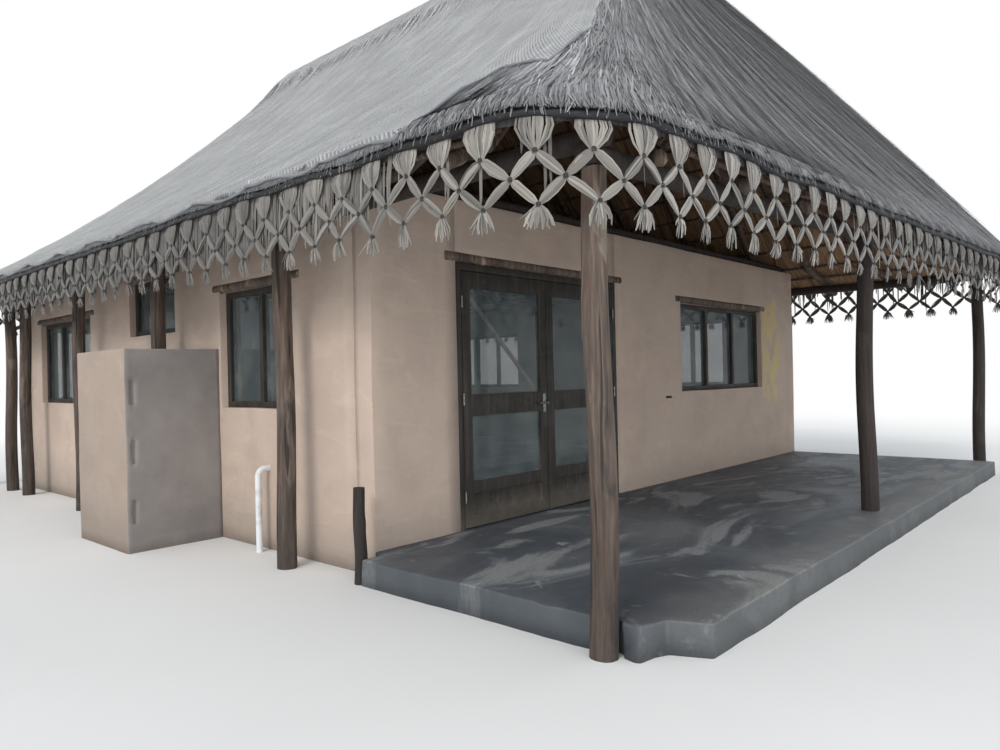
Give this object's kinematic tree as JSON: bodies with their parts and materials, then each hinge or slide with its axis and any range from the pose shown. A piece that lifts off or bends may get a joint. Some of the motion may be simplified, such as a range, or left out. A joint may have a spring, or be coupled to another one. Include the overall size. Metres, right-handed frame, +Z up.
{
  "type": "thatched cottage",
  "caption": "Single-storey plastered cottage under a hipped palm-thatch roof on natural poles, with a front verandah, double door and knotted leaf fringe.",
  "frame": {"origin": "underside of the floor slab at ground level, at the middle of the walls' plan", "axes": "+Z up, the front with door and verandah faces -Y, +X to the right of the front"},
  "size_m": [9.1966, 11.3528, 6.53],
  "materials": {
    "concrete": "floated concrete, stained blue-grey with pale cement smears",
    "plaster": "hand-floated sand plaster, peach, unpainted",
    "pole_wood": "natural round poles, weathered, bark in places",
    "lath_wood": "thin natural poles",
    "thatch": "weathered palm thatch",
    "bound_roll": "dark bound roll of fibre",
    "palm_leaf": "dry split palm leaf, tied in bundles",
    "window_glass": "clear glass",
    "steel": "dull steel",
    "pale_stick": "peeled stick",
    "dark_timber": "dark stained timber",
    "net": "knitted shade net",
    "pipe_plastic": "white pipe"
  },
  "bodies": {
    "house": {"floor_slab": "concrete", "verandah_slab": "concrete", "front_wall_left": "plaster", "front_wall_over_door": "plaster", "front_wall_right": "plaster", "left_wall": "plaster", "right_wall": "plaster", "back_wall": "plaster", "wall_plates": "pole_wood", "shower_screen": "plaster", "lintels": "pole_wood", "door_frame": "dark_timber", "door_hinges": "steel", "front_window_frame": "dark_timber", "side_window_frames": "dark_timber", "back_window_frames": "dark_timber", "window_glass": "window_glass", "front_posts": "pole_wood", "side_posts": "pole_wood", "back_posts": "pole_wood", "stump": "pole_wood", "eave_beams": "pole_wood", "side_rafters": "pole_wood", "end_rafters": "pole_wood", "ridge_pole": "pole_wood", "battens": "lath_wood", "thatch_front": "thatch", "thatch_left": "thatch", "thatch_right": "thatch", "thatch_back": "thatch", "ridge_cap": "thatch", "shade_net": "net", "waste_pipe": "pipe_plastic", "eave_binding": "bound_roll", "fringe_front": "palm_leaf", "fringe_left": "palm_leaf", "fringe_right": "palm_leaf", "fringe_back": "palm_leaf"},
    "door_left": {"left_door_leaf": "dark_timber", "left_door_glass": "window_glass", "door_handle": "steel", "door_brace": "pale_stick"},
    "door_right": {"right_door_leaf": "dark_timber", "right_door_glass": "window_glass"}
  },
  "joints": [
    {"name": "left_door_hinge", "type": "hinge", "parent": "house", "child": "door_left", "pos_m": [-2.9617, -3.8073, 1.2], "axis": [0, 0, -1], "range_deg": [0, 105]},
    {"name": "right_door_hinge", "type": "hinge", "parent": "house", "child": "door_right", "pos_m": [-0.8583, -3.8073, 1.2], "axis": [0, 0, 1], "range_deg": [0, 105]}
  ]
}
